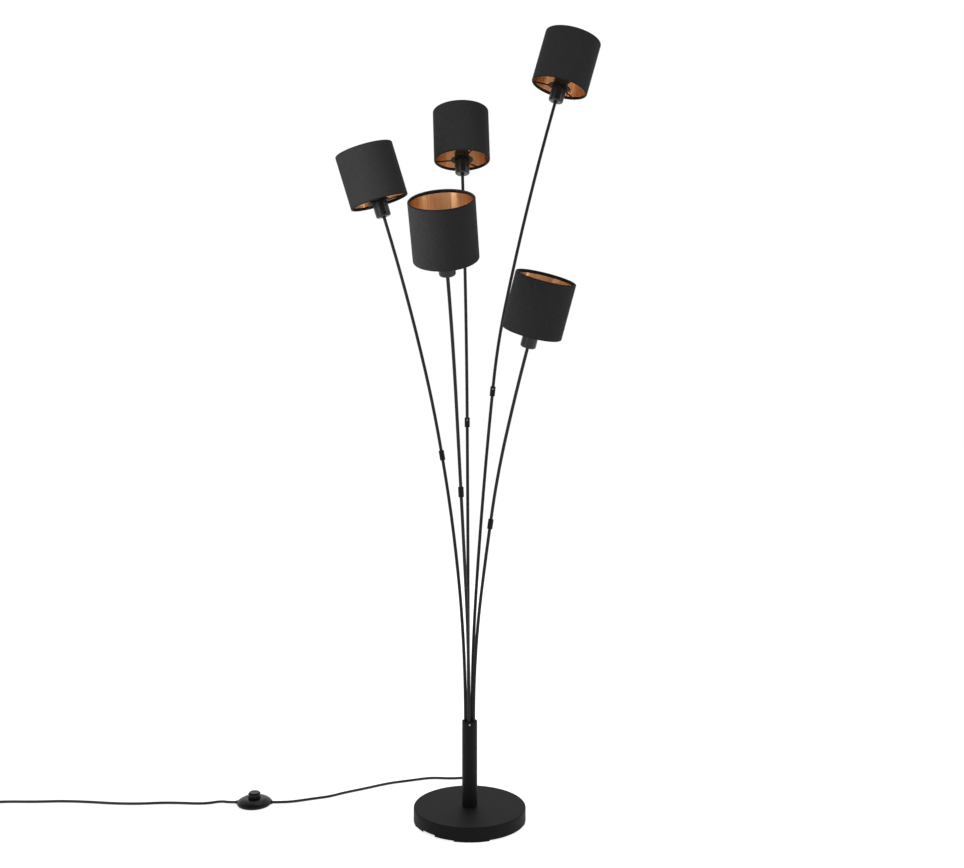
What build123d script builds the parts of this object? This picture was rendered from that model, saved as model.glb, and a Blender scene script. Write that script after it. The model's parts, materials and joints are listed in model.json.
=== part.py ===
"""Tree floor lamp: a weighted round base, a short column and five bent rods, each with a socket and a drum shade.

Millimetres and degrees. +Z is up, the origin is on the floor under the column's axis, +X is to the right and +Y to the
back as the lamp is seen from the front. Each sub-part is written to its own file in parts/.
"""

import os
from collections import namedtuple
from math import ceil, cos, hypot, pi, radians, sin, tan

from build123d import *

# Clearances
PUSH_GAP = 0.05  # radial, between pieces that are pushed or screwed into each other
LOOSE_GAP = 0.5  # round a casting under its cover
TURN_GAP = 0.3  # between faces that slide past each other

# Base: a spun steel cover over an iron weight, closed below by a plate on rubber feet
BASE_R = 105.0
BASE_TOP = 26.4
COVER_WALL = 1.2
COVER_EDGE_R = 2.0
SKIRT_BOTTOM = 2.0
WEIGHT_R = 97.0
WEIGHT_THICK = 20.0
NUT_WELL_R = 17.0
NUT_WELL_DEPTH = 12.0
PLATE_THICK = 1.5
FOOT_COUNT = 4
FOOT_ARC = 36.0
FOOT_WIDTH = 18.0
FOOT_START = -88.0
NOTCH_FROM, NOTCH_TO = -144.0, -127.0
NOTCH_HIGH = 3.0

# Cord: 2-core flex with a foot switch and a plug
CORD_R = 2.5
CORD_FLOOR_GAP = 0.05
OUTLET_X = 12.0
OUTLET_Z = 9.4
GROMMET_R = 4.0
GROMMET_FLANGE_R = 5.6
GROMMET_FLANGE = 1.4
GROMMET_TAIL = 20.0
GROMMET_TIP_R = 3.4

# Column
COLUMN_R = 14.25
COLUMN_WALL = 1.5
COLUMN_TOP = 186.0
COLUMN_EDGE = 0.9
STUD_PLUG_HIGH = 12.0
STUD_R = 5.0
STUD_BORE_R = 3.2
NUT_ACROSS = 17.0
NUT_THICK = 5.0
WASHER_R = 11.0
WASHER_THICK = 1.5
STUD_PAST_NUT = 1.5
HOLDER_THICK = 24.0
HOLDER_SINK = 2.0
HOLE_CIRCLE_R = 7.8
TERMINAL_WIDE = 18.0
TERMINAL_DEEP = 16.0
TERMINAL_HIGH = 24.0
TERMINAL_Z = 96.0

# Rods, joined end to end by sleeves
ROD_R = 3.0
ROD_WALL = 0.7
ROD_PAST_HOLDER = 2.0
FOOT_BEND = 244.5
BOW = 150.0
JOINT_STRAIGHT = 12.0
JOINT_SLIT = 0.25
SLEEVE_R = 5.0
SLEEVE_LONG = 18.5
SLEEVE_EDGE = 0.6
SLEEVE_SCREW_UP = 4.0
SLEEVE_SCREW_R = 1.5
COLUMN_SCREW_R = 1.5
COLUMN_SCREW_DOWN = 4.7
COLUMN_SCREW_LONG = 3.0
SCREW_SINK = 0.25
SCREW_KEY_R = 0.8

# Lamp socket, measured up from where the rod enters its cup
CUP_R = 14.2
CUP_EDGE_R = 3.6
CUP_COLLAR_R = 4.8
CUP_COLLAR = 1.2
CUP_FLOOR = 3.0
CUP_BOSS_R = 6.0
CUP_BOSS_TOP = 10.0
THREAD_R = 12.8
THREAD_TOP = 48.0
CUP_BORE_R = 11.3
CORE_TOP = 46.5
BULB_BORE_R = 7.1
BULB_BORE_DEEP = 25.0
WIRE_BORE_R = 3.0
RING_R = 14.3
RING_HIGH = 15.0
RING_FLANGE_R = 17.2
RING_FLANGE = 2.4
RING_GRIPS = 12
GRIP_R = 1.6

# Shade: fabric drum with a foil lining, hemmed round two wire hoops
SHADE_R = 54.8
SHADE_HIGH = 102.4
SHADE_UP = 27.75
FABRIC = 0.6
LINING = 0.3
HOOP_WIRE_R = 1.25
SPOKE_R = 1.3
SPOKES = 3
SPIDER_R = 21.5
SPIDER_THICK = 1.5

# Foot switch
SWITCH_X, SWITCH_Y = -418.7, 74.0
SWITCH_R = 33.5
SWITCH_SOLE_R = 29.5
SWITCH_WALL = 1.8
SWITCH_WIDEST_Z = 4.5
SWITCH_SPLIT_Z = 6.0
SWITCH_CROWN_Z = 13.5
SWITCH_CROWN_R = 14.5
SWITCH_CORD_Z = 4.2
SWITCH_BOSS_R = 3.6
SWITCH_BOSS_OUT = 1.5
BUTTON_R = 11.8
BUTTON_TOP = 24.2
BUTTON_EDGE = 2.2
BUTTON_WALL = 1.6
BUTTON_FLANGE = 1.9
BUTTON_TRAVEL = 4.0
BUTTON_STOP_GAP = 0.4
POST_R = 8.6
POST_TOP = 12.0

# Plug: flat, two pins, lying on its broad side
PLUG_WIDE = 35.0
PLUG_THICK = 13.6
PLUG_LONG = 38.0
PLUG_NECK = 16.0
PLUG_TAIL = 22.0
PLUG_TAIL_R = 4.2
PLUG_TIP_R = 3.2
PIN_R = 2.0
PIN_LONG = 19.0
PIN_PITCH = 18.6
PIN_BURIED = 12.0
PIN_ROOT_R = 1.7

# Coil of spare cord beyond the foot switch: two layers that spiral in and out again
COIL_X, COIL_Y = -972.0, 44.0
COIL_R = 33.6
COIL_PITCH = 5.6
COIL_HALF_TURNS = 4
COIL_START = 5.0
COIL_DROP_LONG = 40.0
COIL_DROP_OUT = 3.0

# Arms. Each lies in one upright plane: lean_to is the way it leans, hole is its place in the holder. The lower rod
# turns foot_turn over FOOT_BEND and rise_turn over the rest of rise; the upper rod turns bow_turn over BOW and top_turn
# over the rest of reach. spoke and screw are the ways that a spoke and the sleeve's grub screw face.
Arm = namedtuple("Arm", "name hole lean_to foot_turn rise rise_turn bow_turn reach top_turn spoke screw")
ARMS = (
    Arm("left", 180, 187.9, 5.08, 258.1, 4.59, 3.4, 457.0, 3.9, 5, 90),
    Arm("back", 108, 99.1, 1.45, 316.5, 1.07, 3.32, 486.0, 5.11, 53, -90),
    Arm("front", 262, -98.3, 16.75, 209.9, 1.7, 0.3, 399.6, 9.04, 30, 80),
    Arm("top", 56, 12.1, 3.78, 376.7, 2.09, 6.09, 568.1, 4.16, 50, -90),
    Arm("right", 340, -46.4, 9.7, 134.0, 1.21, 6.19, 337.3, 2.87, 20, 120),
)

# Routes of the cord's free stretches, from the base to the switch and from the switch to the coil
FLOOR_Z = CORD_R + CORD_FLOOR_GAP
LEAD_START = BASE_R + GROMMET_TAIL + 2.0
LEAD_ROUTE = (
    (OUTLET_X, LEAD_START, OUTLET_Z),
    (OUTLET_X, LEAD_START + 21.0, OUTLET_Z - 0.5),
    (OUTLET_X + 0.4, LEAD_START + 42.0, 3.4),
    (OUTLET_X + 0.8, LEAD_START + 68.2, FLOOR_Z),
    (OUTLET_X - 20.5, LEAD_START + 85.5, FLOOR_Z),
    (-36.0, LEAD_START + 80.0, FLOOR_Z),
    (-76.0, LEAD_START + 84.5, FLOOR_Z),
    (-98.0, LEAD_START + 78.5, FLOOR_Z),
    (-125.0, LEAD_START + 68.0, FLOOR_Z),
    (-167.0, 180.0, FLOOR_Z),
    (-211.0, 151.0, FLOOR_Z),
    (-250.0, 129.0, FLOOR_Z),
    (-277.0, 108.0, FLOOR_Z),
    (-304.0, 98.5, FLOOR_Z),
    (-331.0, 86.5, FLOOR_Z + 0.3),
    (-356.0, SWITCH_Y, SWITCH_CORD_Z),
    (SWITCH_X + SWITCH_R + SWITCH_BOSS_OUT, SWITCH_Y, SWITCH_CORD_Z),
)
TAIL_ROUTE = (
    (SWITCH_X - SWITCH_R - SWITCH_BOSS_OUT, SWITCH_Y, SWITCH_CORD_Z),
    (-469.0, SWITCH_Y, SWITCH_CORD_Z),
    (-485.0, 78.5, 4.4),
    (-508.0, 73.0, FLOOR_Z),
    (-532.0, 71.5, FLOOR_Z),
    (-565.0, 75.0, FLOOR_Z),
    (-600.0, 75.8, FLOOR_Z),
    (-641.0, 70.5, FLOOR_Z),
    (-690.0, 72.0, FLOOR_Z),
    (-742.0, 80.0, FLOOR_Z),
    (-795.0, 84.5, FLOOR_Z),
    (-848.0, 80.5, FLOOR_Z),
    (-900.0, 82.0, FLOOR_Z),
    (-935.0, COIL_Y + COIL_R, FLOOR_Z),
    (COIL_X + COIL_START, COIL_Y + COIL_R, FLOOR_Z),
)

# Worked out from the sizes above
COVER_INSIDE = BASE_TOP - COVER_WALL
COVER_IN_R = BASE_R - COVER_WALL
WEIGHT_BOTTOM = COVER_INSIDE - WEIGHT_THICK
PLATE_BOTTOM = WEIGHT_BOTTOM - PLATE_THICK
COLUMN_BORE_R = COLUMN_R - COLUMN_WALL
HOLDER_TOP = COLUMN_TOP - HOLDER_SINK
HOLDER_BOTTOM = HOLDER_TOP - HOLDER_THICK
ROD_BOTTOM = HOLDER_BOTTOM - ROD_PAST_HOLDER
WELL_TOP = WEIGHT_BOTTOM + NUT_WELL_DEPTH
NUT_BOTTOM = WELL_TOP - WASHER_THICK - NUT_THICK
SPIDER_MID = SHADE_UP + HOOP_WIRE_R + PUSH_GAP + FABRIC
CUP_TOP = SPIDER_MID - SPIDER_THICK / 2
HEM_R = HOOP_WIRE_R + PUSH_GAP + FABRIC
HOOP_R = SHADE_R - HEM_R
UPPER_LAYER_Z = FLOOR_Z + COIL_PITCH


def rod(radius, bottom, top, x=0.0, y=0.0):
    """An upright cylinder between two heights."""
    return Pos(x, y, bottom) * Cylinder(radius, top - bottom, align=(Align.CENTER, Align.CENTER, Align.MIN))


def block(low, high):
    """A box between two corners."""
    size = [b - a for a, b in zip(low, high)]
    return Pos(*low) * Box(*size, align=(Align.MIN, Align.MIN, Align.MIN))


def spun(*edges, arc=360.0):
    """A solid turned round Z from a closed outline of edges, drawn with x as the radius and y as the height."""
    return revolve(Plane.XZ * make_face(Curve() + list(edges)), Axis.Z, arc)


def outline(*points):
    """The edges of a closed polygon."""
    return Polyline(*points, close=True)


def save(name, *solids):
    """Writes one sub-part, which may be a group of equal solids."""
    shapes = [solid for shape in solids for solid in shape.solids()]
    whole = shapes[0] if len(shapes) == 1 else Compound(children=shapes)
    export_step(whole, f"parts/{name}.step")


class RodPath:
    """Draws a rod's centre line in an upright plane, x outward and y up. lean is measured from upright."""

    def __init__(self, x, y, lean):
        self.x, self.y, self.lean = x, y, lean
        self.edges = []

    def after(self, length, turn):
        """Where an arc of this length and turn would end."""
        radius = length / radians(turn)
        start, end = radians(self.lean), radians(self.lean + turn)
        return self.x + radius * (cos(start) - cos(end)), self.y + radius * (sin(end) - sin(start))

    def bend(self, length, turn):
        middle, end = self.after(length / 2, turn / 2), self.after(length, turn)
        self.edges.append(ThreePointArc((self.x, self.y), middle, end))
        self.x, self.y = end
        self.lean += turn

    def straight(self, length):
        end = (self.x + length * sin(radians(self.lean)), self.y + length * cos(radians(self.lean)))
        self.edges.append(Line((self.x, self.y), end))
        self.x, self.y = end

    def place(self):
        """The pen's place now, as outward distance, height and lean."""
        return self.x, self.y, self.lean


def arm_plane(arm):
    """The arm's upright plane through its hole in the holder."""
    hole, out = radians(arm.hole), radians(arm.lean_to)
    origin = (HOLE_CIRCLE_R * cos(hole), HOLE_CIRCLE_R * sin(hole), 0)
    return Plane(origin=origin, x_dir=(cos(out), sin(out), 0), z_dir=(sin(out), -cos(out), 0))


def across(plane, place):
    """The plane square to a rod at a place on its path: its z runs along the rod, its x lies in the arm's plane."""
    x, y, lean = place
    along = plane.from_local_coords((x + sin(radians(lean)), y + cos(radians(lean)), 0))
    side = plane.from_local_coords((x + cos(radians(lean)), y - sin(radians(lean)), 0))
    here = plane.from_local_coords((x, y, 0))
    return Plane(origin=here, x_dir=side - here, z_dir=along - here)


def tube(section, path, outer_r, bore_r):
    """A tube swept along a path from a plane square to its start."""
    return sweep(section * Circle(outer_r), path) - sweep(section * Circle(bore_r), path)


def arm_paths(arm):
    """The lower and upper rods' paths, and the places of the joint and of the socket."""
    lower = RodPath(0.0, ROD_BOTTOM, 0.0)
    lower.straight(HOLDER_TOP - ROD_BOTTOM)
    lower.bend(FOOT_BEND, arm.foot_turn)
    lower.bend(arm.rise - JOINT_STRAIGHT, arm.rise_turn)
    lower.straight(JOINT_STRAIGHT - JOINT_SLIT)
    end = lower.place()
    upper = RodPath(*end)
    upper.straight(JOINT_SLIT)
    joint = upper.place()
    upper.straight(JOINT_SLIT)
    start = upper.place()
    upper.edges.clear()
    upper.straight(JOINT_STRAIGHT - JOINT_SLIT)
    upper.bend(BOW, arm.bow_turn)
    upper.bend(arm.reach - JOINT_STRAIGHT - BOW - CUP_BOSS_TOP, arm.top_turn)
    upper.straight(CUP_BOSS_TOP)
    socket = upper.place()
    upper.straight(CUP_BOSS_TOP)
    return lower, upper, start, joint, socket


def make_rods(arm):
    """The arm's two tubes."""
    plane = arm_plane(arm)
    lower, upper, start, _, _ = arm_paths(arm)
    bore_r = ROD_R - ROD_WALL
    foot = Plane(origin=plane.from_local_coords((0, ROD_BOTTOM, 0)), z_dir=(0, 0, 1))
    return (
        tube(foot, plane * Wire(lower.edges), ROD_R, bore_r),
        tube(across(plane, start), plane * Wire(upper.edges), ROD_R, bore_r),
    )


def screw(radius, tip, end):
    """A grub screw along X between two distances, with a key hole in its outer end."""
    body = Plane.YZ.offset(tip) * extrude(Circle(radius), end - tip)
    key = Plane.YZ.offset(end - 0.8) * extrude(RegularPolygon(SCREW_KEY_R, 6), 0.8)
    return body - key


def screw_frame(square, azimuth):
    """A frame on a rod's cross plane whose x faces the given azimuth."""
    face = Vector(cos(radians(azimuth)), sin(radians(azimuth)), 0)
    along = square.z_dir
    return Plane(origin=square.origin, x_dir=face - along * face.dot(along), z_dir=along)


def make_sleeve(arm):
    """The sleeve over an arm's joint and the grub screw that holds the upper rod in it."""
    _, _, _, joint, _ = arm_paths(arm)
    frame = screw_frame(across(arm_plane(arm), joint), arm.screw)
    half = SLEEVE_LONG / 2
    bore = ROD_R + PUSH_GAP
    body = spun(
        outline(
            (bore, -half),
            (SLEEVE_R - SLEEVE_EDGE, -half),
            (SLEEVE_R, SLEEVE_EDGE - half),
            (SLEEVE_R, half - SLEEVE_EDGE),
            (SLEEVE_R - SLEEVE_EDGE, half),
            (bore, half),
        )
    )
    hole = Plane.YZ * extrude(Circle(SLEEVE_SCREW_R + PUSH_GAP), SLEEVE_R + 1)
    grub = screw(SLEEVE_SCREW_R, bore + PUSH_GAP, SLEEVE_R - SCREW_SINK)
    lift = Pos(0, 0, SLEEVE_SCREW_UP)
    return frame * (body - lift * hole), frame * (lift * grub)


def socket_cup():
    """The socket's outer shell: a smooth cup with a collar round the rod, and a threaded skirt for the shade ring."""
    bore = ROD_R + PUSH_GAP
    shell = spun(
        outline(
            (bore, -CUP_COLLAR),
            (CUP_COLLAR_R, -CUP_COLLAR),
            (CUP_COLLAR_R, 0),
            (CUP_R, 0),
            (CUP_R, CUP_TOP),
            (THREAD_R, CUP_TOP),
            (THREAD_R, THREAD_TOP),
            (CUP_BORE_R, THREAD_TOP),
            (CUP_BORE_R, CUP_FLOOR),
            (CUP_BOSS_R, CUP_FLOOR),
            (CUP_BOSS_R, CUP_BOSS_TOP),
            (bore, CUP_BOSS_TOP),
        )
    )
    rim = [e for e in shell.edges().filter_by(GeomType.CIRCLE) if e.center().Z < 0.01 and e.radius > CUP_BOSS_R]
    return fillet(rim, min(CUP_EDGE_R, CUP_FLOOR + CUP_R - CUP_BORE_R))


def socket_core():
    """The insulating insert with the lamp cap's bore, seated on the cup's boss."""
    body = rod(CUP_BORE_R - PUSH_GAP, CUP_BOSS_TOP, CORE_TOP)
    return body - rod(BULB_BORE_R, CORE_TOP - BULB_BORE_DEEP, CORE_TOP) - rod(WIRE_BORE_R, CUP_BOSS_TOP, CORE_TOP)


def shade_ring():
    """The screw ring that clamps the shade's spider on the cup's shoulder."""
    bottom = SPIDER_MID + SPIDER_THICK / 2
    ring = rod(RING_R, bottom, bottom + RING_HIGH) + rod(RING_FLANGE_R, bottom, bottom + RING_FLANGE)
    ring -= rod(THREAD_R + PUSH_GAP, bottom, bottom + RING_HIGH)
    for turn in range(RING_GRIPS):
        angle = radians(360 / RING_GRIPS * (turn + 0.5))
        place = (RING_FLANGE_R + GRIP_R / 2) * cos(angle), (RING_FLANGE_R + GRIP_R / 2) * sin(angle)
        ring -= rod(GRIP_R, bottom, bottom + RING_FLANGE, *place)
    return ring


def spokes(radius, start, end):
    """Round bars from the spider's ring out to the bottom hoop."""
    bar = Plane.YZ.offset(start) * extrude(Circle(radius), end - start)
    return [Pos(0, 0, SPIDER_MID) * Rot(0, 0, 360 / SPOKES * turn) * bar for turn in range(SPOKES)]


def hoop(height):
    """A wire hoop at a height, its seam midway between two spokes."""
    wire = Plane.XZ * (Pos(HOOP_R, height) * Circle(HOOP_WIRE_R))
    return Rot(0, 0, 180 / SPOKES) * revolve(wire, Axis.Z)


def shade_frame():
    """The bottom hoop with its spider, and the top hoop."""
    bottom = hoop(SPIDER_MID)
    washer = rod(SPIDER_R, SPIDER_MID - SPIDER_THICK / 2, SPIDER_MID + SPIDER_THICK / 2)
    washer -= rod(THREAD_R + 0.2, SPIDER_MID - SPIDER_THICK, SPIDER_MID + SPIDER_THICK)
    for bar in spokes(SPOKE_R, RING_FLANGE_R + TURN_GAP, HOOP_R):
        bottom += bar
    return bottom + washer, hoop(SHADE_UP + SHADE_HIGH - HEM_R)


def shade_drum():
    """The fabric wall, with both edges rolled round the hoops and slit where the spokes pass."""
    low, high = SHADE_UP + HEM_R, SHADE_UP + SHADE_HIGH - HEM_R
    section = Pos(SHADE_R - FABRIC / 2, (low + high) / 2) * Rectangle(FABRIC, high - low - HEM_R / 2)
    for z in (low, high):
        section += Pos(HOOP_R, z) * Circle(HEM_R)
        section -= Pos(HOOP_R, z) * Circle(HOOP_WIRE_R + PUSH_GAP)
    drum = revolve(Plane.XZ * section, Axis.Z)
    for slit in spokes(SPOKE_R + TURN_GAP, HOOP_R - HEM_R - 2, HOOP_R):
        drum -= slit
    return drum


def shade_lining():
    """The metallised film inside the drum, between its hems."""
    outer = SHADE_R - FABRIC - PUSH_GAP
    low = SHADE_UP + 2 * HEM_R + 0.2
    high = SHADE_UP + SHADE_HIGH - 2 * HEM_R - 0.2
    return rod(outer, low, high) - rod(outer - LINING, low, high)


def base_cover():
    """The spun cover, with the stud's hole, the cord's outlet and the small notch in its skirt."""
    cover = rod(BASE_R, SKIRT_BOTTOM, BASE_TOP)
    cover = fillet(cover.edges().group_by(Axis.Z)[-1], COVER_EDGE_R)
    inside = rod(COVER_IN_R, SKIRT_BOTTOM, COVER_INSIDE)
    cover -= fillet(inside.edges().group_by(Axis.Z)[-1], COVER_EDGE_R - COVER_WALL)
    cover -= rod(STUD_R + PUSH_GAP, COVER_INSIDE, BASE_TOP)
    cover -= outlet_hole(GROMMET_R + PUSH_GAP)
    notch = outline(
        (COVER_IN_R - 1, SKIRT_BOTTOM - 1),
        (BASE_R + 1, SKIRT_BOTTOM - 1),
        (BASE_R + 1, SKIRT_BOTTOM + NOTCH_HIGH),
        (COVER_IN_R - 1, SKIRT_BOTTOM + NOTCH_HIGH),
    )
    return cover - Rot(0, 0, NOTCH_FROM) * spun(notch, arc=NOTCH_TO - NOTCH_FROM)


def outlet_hole(radius):
    """A cylinder along the outlet's axis, through the back of the skirt."""
    start = BASE_R - 12
    return Plane((OUTLET_X, start, OUTLET_Z), z_dir=(0, 1, 0)) * extrude(Circle(radius), 24)


def base_weight():
    """The iron weight, with a well for the nut and a channel for the cord."""
    weight = rod(WEIGHT_R, WEIGHT_BOTTOM, COVER_INSIDE)
    weight -= rod(STUD_R + LOOSE_GAP, WEIGHT_BOTTOM, COVER_INSIDE)
    weight -= rod(NUT_WELL_R, WEIGHT_BOTTOM, WELL_TOP)
    half = CORD_R + LOOSE_GAP
    return weight - block((OUTLET_X - half, 0, WEIGHT_BOTTOM), (OUTLET_X + half, BASE_R, OUTLET_Z + half))


def base_plate():
    """The closing plate under the weight."""
    return rod(COVER_IN_R - LOOSE_GAP, PLATE_BOTTOM, WEIGHT_BOTTOM)


def base_feet():
    """Arc-shaped rubber feet, stepped out under the skirt's edge."""
    inner = BASE_R - FOOT_WIDTH
    section = outline(
        (inner, 0),
        (BASE_R - 0.4, 0),
        (BASE_R - 0.4, SKIRT_BOTTOM - 0.2),
        (COVER_IN_R - LOOSE_GAP, SKIRT_BOTTOM - 0.2),
        (COVER_IN_R - LOOSE_GAP, PLATE_BOTTOM),
        (inner, PLATE_BOTTOM),
    )
    foot = Rot(0, 0, FOOT_START - FOOT_ARC / 2) * spun(section, arc=FOOT_ARC)
    return [Rot(0, 0, 360 / FOOT_COUNT * turn) * foot for turn in range(FOOT_COUNT)]


def base_grommet():
    """The rubber bush in the outlet: a plug through the skirt, a flange against it and a tapered tail."""
    wall = (BASE_R**2 - (abs(OUTLET_X) + GROMMET_FLANGE_R) ** 2) ** 0.5
    face = BASE_R + 0.1
    bush = spun(
        outline(
            (CORD_R + PUSH_GAP, wall - COVER_WALL - 2),
            (GROMMET_R, wall - COVER_WALL - 2),
            (GROMMET_R, face),
            (GROMMET_FLANGE_R, face),
            (GROMMET_FLANGE_R, face + GROMMET_FLANGE),
            (GROMMET_R, face + GROMMET_FLANGE + 1),
            (GROMMET_TIP_R, LEAD_START),
            (CORD_R + PUSH_GAP, LEAD_START),
        )
    )
    return Plane((OUTLET_X, 0, OUTLET_Z), z_dir=(0, 1, 0)) * bush


def column_tube():
    """The column, with the hole for its grub screw near the top."""
    column = rod(COLUMN_R, BASE_TOP, COLUMN_TOP)
    column = chamfer(column.edges().group_by(Axis.Z)[-1], COLUMN_EDGE)
    column -= rod(COLUMN_BORE_R, BASE_TOP, COLUMN_TOP)
    return column - column_screw_place() * screw(COLUMN_SCREW_R + PUSH_GAP, 0, COLUMN_R + 1)


def column_screw_place():
    """Turns a grub screw's frame to the front of the column, below its rim."""
    return Pos(0, 0, COLUMN_TOP - COLUMN_SCREW_DOWN) * Rot(0, 0, -90)


def column_stud():
    """The plug in the column's foot and its hollow threaded shank, which passes through the cover and the weight."""
    plug = rod(COLUMN_BORE_R - PUSH_GAP, BASE_TOP, BASE_TOP + STUD_PLUG_HIGH)
    shank = rod(STUD_R, NUT_BOTTOM - STUD_PAST_NUT, BASE_TOP)
    return plug + shank - rod(STUD_BORE_R, NUT_BOTTOM - STUD_PAST_NUT, BASE_TOP + STUD_PLUG_HIGH)


def column_nut():
    """The nut and the washer that clamp the weight and the cover to the column."""
    hole = rod(STUD_R + PUSH_GAP, NUT_BOTTOM, WELL_TOP)
    nut = Pos(0, 0, NUT_BOTTOM) * extrude(RegularPolygon(NUT_ACROSS / 2, 6, major_radius=False), NUT_THICK)
    washer = rod(WASHER_R, NUT_BOTTOM + NUT_THICK, WELL_TOP)
    return nut - hole, washer - hole


def rod_holder():
    """The collar in the column's mouth, bored for the five rods and tapped for the grub screw."""
    holder = rod(COLUMN_BORE_R - PUSH_GAP, HOLDER_BOTTOM, HOLDER_TOP)
    for arm in ARMS:
        hole = radians(arm.hole)
        place = HOLE_CIRCLE_R * cos(hole), HOLE_CIRCLE_R * sin(hole)
        holder -= rod(ROD_R + PUSH_GAP, HOLDER_BOTTOM, HOLDER_TOP, *place)
    tapped = screw(COLUMN_SCREW_R + PUSH_GAP, COLUMN_R - SCREW_SINK - COLUMN_SCREW_LONG, COLUMN_R + 1)
    return holder - column_screw_place() * tapped


def terminal_block():
    """The block that joins the rods' wires to the cord, inside the column."""
    half_x, half_y = TERMINAL_WIDE / 2, TERMINAL_DEEP / 2
    block_body = block((-half_x, -half_y, TERMINAL_Z), (half_x, half_y, TERMINAL_Z + TERMINAL_HIGH))
    for x in (-half_x / 2, half_x / 2):
        block_body -= rod(1.6, TERMINAL_Z, TERMINAL_Z + TERMINAL_HIGH, x)
    return block_body


def switch_outlets(radius):
    """Bars along X through both sides of the switch, at the cord's height."""
    reach = SWITCH_R + SWITCH_BOSS_OUT
    bar = Plane.YZ.offset(SWITCH_R - 3.5) * extrude(Circle(radius), reach - SWITCH_R + 3.5)
    return [Pos(0, 0, SWITCH_CORD_Z) * Rot(0, 0, turn) * bar for turn in (0, 180)]


def switch_base():
    """The switch's sole, with the post that the button slides on."""
    inner = SWITCH_R - SWITCH_WALL
    shell = spun(
        Line((0, 0), (SWITCH_SOLE_R, 0)),
        ThreePointArc((SWITCH_SOLE_R, 0), (SWITCH_R - 1.1, 1.5), (SWITCH_R, SWITCH_WIDEST_Z)),
        Polyline(
            (SWITCH_R, SWITCH_WIDEST_Z),
            (SWITCH_R, SWITCH_SPLIT_Z),
            (inner, SWITCH_SPLIT_Z),
            (inner, SWITCH_WIDEST_Z),
            (SWITCH_SOLE_R - 1, SWITCH_WALL),
            (POST_R, SWITCH_WALL),
            (POST_R, POST_TOP),
            (0, POST_TOP),
            (0, 0),
        ),
    )
    for boss in switch_outlets(SWITCH_BOSS_R):
        shell += boss
    return shell


def switch_cover():
    """The domed cover, open for the button and notched for the cord's bosses."""
    hole = BUTTON_R + TURN_GAP
    outer_start, outer_end = (SWITCH_R, SWITCH_SPLIT_Z), (SWITCH_CROWN_R, SWITCH_CROWN_Z)
    inner_start = (SWITCH_R - SWITCH_WALL, SWITCH_SPLIT_Z)
    inner_end = (SWITCH_CROWN_R, SWITCH_CROWN_Z - SWITCH_WALL)
    shell = spun(
        ThreePointArc(outer_start, bulge(outer_start, outer_end, 2.2), outer_end),
        Line(outer_end, (hole, SWITCH_CROWN_Z)),
        Line((hole, SWITCH_CROWN_Z), (hole, SWITCH_CROWN_Z - SWITCH_WALL)),
        Line((hole, SWITCH_CROWN_Z - SWITCH_WALL), inner_end),
        ThreePointArc(inner_end, bulge(inner_start, inner_end, 2.0), inner_start),
        Line(inner_start, outer_start),
    )
    for boss in switch_outlets(SWITCH_BOSS_R + 0.1):
        shell -= boss
    return shell


def bulge(start, end, rise):
    """The middle of an arc that stands outward and upward of its chord by the rise."""
    dx, dy = end[0] - start[0], end[1] - start[1]
    long = hypot(dx, dy)
    return (start[0] + end[0]) / 2 + rise * dy / long, (start[1] + end[1]) / 2 - rise * dx / long


def switch_button():
    """The foot button: a cap with a flange that keeps it under the cover."""
    flange_top = SWITCH_CROWN_Z - SWITCH_WALL - TURN_GAP
    flange_bottom = flange_top - BUTTON_FLANGE
    inner = BUTTON_R - BUTTON_WALL
    ceiling = POST_TOP + BUTTON_TRAVEL + BUTTON_STOP_GAP
    return spun(
        outline(
            (0, BUTTON_TOP - 0.6),
            (BUTTON_R - BUTTON_EDGE - 1.5, BUTTON_TOP),
            (BUTTON_R - BUTTON_EDGE, BUTTON_TOP),
            (BUTTON_R, BUTTON_TOP - BUTTON_EDGE),
            (BUTTON_R, flange_top),
            (SWITCH_CROWN_R, flange_top),
            (SWITCH_CROWN_R, flange_bottom),
            (inner, flange_bottom),
            (inner, ceiling),
            (0, ceiling),
        )
    )


def plug_place():
    """The plug's frame: z runs along the cord's last stretch to the pins, x lies flat."""
    return Plane(origin=coil_end(), x_dir=(1, 0, 0), z_dir=(0, -1, 0))


def plug_body():
    """The plug: a tapered tail, a neck that widens and a flat body, with the pins' holes."""
    tail = spun(
        outline((0, 0), (PLUG_TIP_R, 0), (PLUG_TAIL_R, PLUG_TAIL + 1), (0, PLUG_TAIL + 1)),
    )
    half, neck = PLUG_WIDE / 2, PLUG_TAIL + PLUG_NECK
    end = PLUG_TAIL + PLUG_LONG
    shape = outline((-5, PLUG_TAIL), (5, PLUG_TAIL), (half, neck), (half, end), (-half, end), (-half, neck))
    flat = extrude(Plane.XZ * make_face(shape), PLUG_THICK / 2, both=True)
    flat = chamfer(flat.edges().filter_by(Axis.Y, reverse=True), 1.6)
    body = flat + tail
    for pin in pin_bars(PIN_ROOT_R + PUSH_GAP, end - PIN_BURIED, end):
        body -= pin
    return body


def pin_bars(radius, start, end):
    """Two bars along the plug's axis, a pin's pitch apart."""
    return [rod(radius, start, end, x) for x in (-PIN_PITCH / 2, PIN_PITCH / 2)]


def plug_pins():
    """The two pins, with rounded tips and thinner roots inside the body."""
    end = PLUG_TAIL + PLUG_LONG
    pins = [fillet(pin.edges().group_by(Axis.Z)[-1], PIN_R * 0.8) for pin in pin_bars(PIN_R, end, end + PIN_LONG)]
    return [pin + root for pin, root in zip(pins, pin_bars(PIN_ROOT_R, end - PIN_BURIED, end))]


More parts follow.
